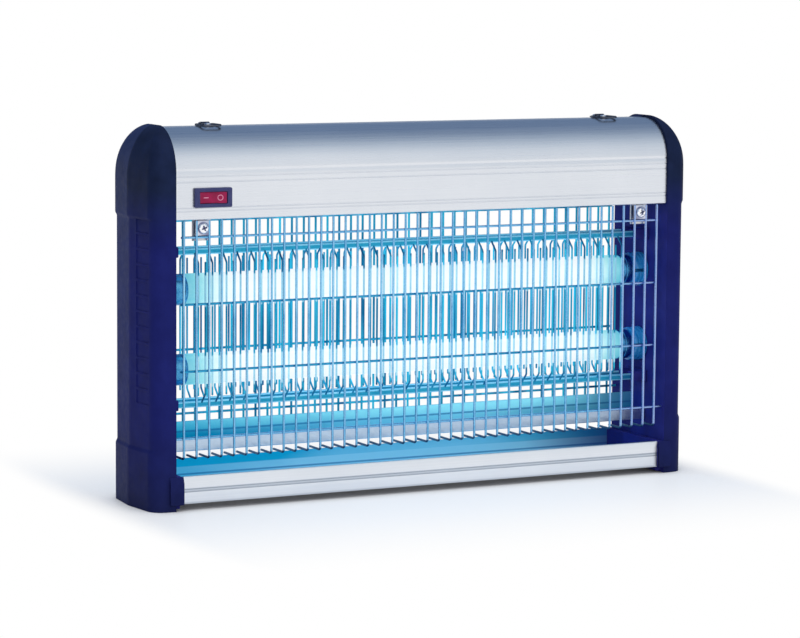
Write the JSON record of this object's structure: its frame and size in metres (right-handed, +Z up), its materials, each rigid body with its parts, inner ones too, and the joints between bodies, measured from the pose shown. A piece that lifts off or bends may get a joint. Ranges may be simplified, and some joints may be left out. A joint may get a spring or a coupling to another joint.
{
  "type": "electric bug zapper",
  "caption": "Arched insect killer: glowing lamps and live wire grid behind safety grilles, between plastic end caps, over a pull-out tray, with a lit rocker switch and folding hanging rings.",
  "frame": {"origin": "on the floor under the middle of the object, between the feet of the end caps", "axes": "+X along the lamps to the right as seen from the front, -Y to the front with the switch and grille screws, +Z up"},
  "size_m": [0.512, 0.095, 0.3142],
  "materials": {
    "navy_plastic": "moulded, slightly glossy",
    "brushed_aluminium": "brushed along its length",
    "plain_aluminium": "drawn, satin",
    "zinc_wire": "bright zinc plating",
    "grid_wire": "bright zinc plating",
    "bright_screw": "bright nickel plating",
    "lamp_glass": "coated inside, glowing",
    "holder_plastic": "moulded",
    "black_plastic": "moulded",
    "red_rocker": "polished, lit from inside",
    "lacquered_iron": "lacquered laminations",
    "white_plastic": "moulded",
    "plated_steel": "zinc plated sheet"
  },
  "bodies": {
    "housing": {"ballast_1": "lacquered_iron", "ballast_2": "lacquered_iron", "cable_gland": "black_plastic", "chassis_plate": "plated_steel", "front_guide_strip": "plain_aluminium", "front_lower_grid_comb": "grid_wire", "front_upper_grid_comb": "grid_wire", "grid_transformer": "lacquered_iron", "left_end_cap": "navy_plastic", "left_hanger_front_screw": "bright_screw", "left_hanger_rear_screw": "bright_screw", "left_hanger_strap": "plated_steel", "lower_left_insulator": "navy_plastic", "lower_left_lampholder": "holder_plastic", "lower_right_insulator": "navy_plastic", "lower_right_lampholder": "holder_plastic", "rear_grille": "zinc_wire", "rear_grille_lower_cross_wire": "zinc_wire", "rear_grille_upper_cross_wire": "zinc_wire", "rear_guide_strip": "plain_aluminium", "rear_lower_grid_comb": "grid_wire", "rear_upper_grid_comb": "grid_wire", "right_end_cap": "navy_plastic", "right_hanger_front_screw": "bright_screw", "right_hanger_rear_screw": "bright_screw", "right_hanger_strap": "plated_steel", "starter_1": "white_plastic", "starter_2": "white_plastic", "starter_socket_1": "white_plastic", "starter_socket_2": "white_plastic", "switch_housing": "black_plastic", "terminal_block": "white_plastic", "top_cover": "brushed_aluminium", "upper_left_insulator": "navy_plastic", "upper_left_lampholder": "holder_plastic", "upper_right_insulator": "navy_plastic", "upper_right_lampholder": "holder_plastic"},
    "front_guard": {"front_grille": "zinc_wire", "front_grille_lower_cross_wire": "zinc_wire", "front_grille_upper_cross_wire": "zinc_wire", "left_grille_screw": "bright_screw", "right_grille_screw": "bright_screw"},
    "tray": {"collection_tray": "plain_aluminium", "left_tray_end": "navy_plastic", "right_tray_end": "navy_plastic"},
    "rocker": {"switch_rocker": "red_rocker"},
    "upper_tube": {"upper_lamp": "lamp_glass", "upper_lamp_left_base": "plain_aluminium", "upper_lamp_right_base": "plain_aluminium", "upper_left_rotor": "white_plastic", "upper_right_rotor": "white_plastic"},
    "lower_tube": {"lower_lamp": "lamp_glass", "lower_lamp_left_base": "plain_aluminium", "lower_lamp_right_base": "plain_aluminium", "lower_left_rotor": "white_plastic", "lower_right_rotor": "white_plastic"},
    "left_ring": {"left_hanger_ring": "plated_steel"},
    "right_ring": {"right_hanger_ring": "plated_steel"}
  },
  "joints": [
    {"name": "front_guard_hinge", "type": "hinge", "parent": "housing", "child": "front_guard", "pos_m": [0, -0.0393, 0.0585], "axis": [1, 0, 0], "range_deg": [0, 90]},
    {"name": "tray_slide", "type": "slide", "parent": "housing", "child": "tray", "axis": [0, -1, 0], "range_m": [0, 0.07]},
    {"name": "rocker_tilt", "type": "hinge", "parent": "housing", "child": "rocker", "pos_m": [-0.1993, -0.0422, 0.2552], "axis": [0, 0, 1], "range_deg": [0, 16]},
    {"name": "upper_tube_twist", "type": "hinge", "parent": "housing", "child": "upper_tube", "pos_m": [0, 0, 0.1765], "axis": [1, 0, 0], "range_deg": [0, 90]},
    {"name": "lower_tube_twist", "type": "hinge", "parent": "housing", "child": "lower_tube", "pos_m": [0, 0, 0.11], "axis": [1, 0, 0], "range_deg": [0, 90]},
    {"name": "left_ring_fold", "type": "hinge", "parent": "housing", "child": "left_ring", "pos_m": [-0.188, 0, 0.3119], "axis": [-1, 0, 0], "range_deg": [0, 180]},
    {"name": "right_ring_fold", "type": "hinge", "parent": "housing", "child": "right_ring", "pos_m": [0.188, 0, 0.3119], "axis": [-1, 0, 0], "range_deg": [0, 180]}
  ]
}
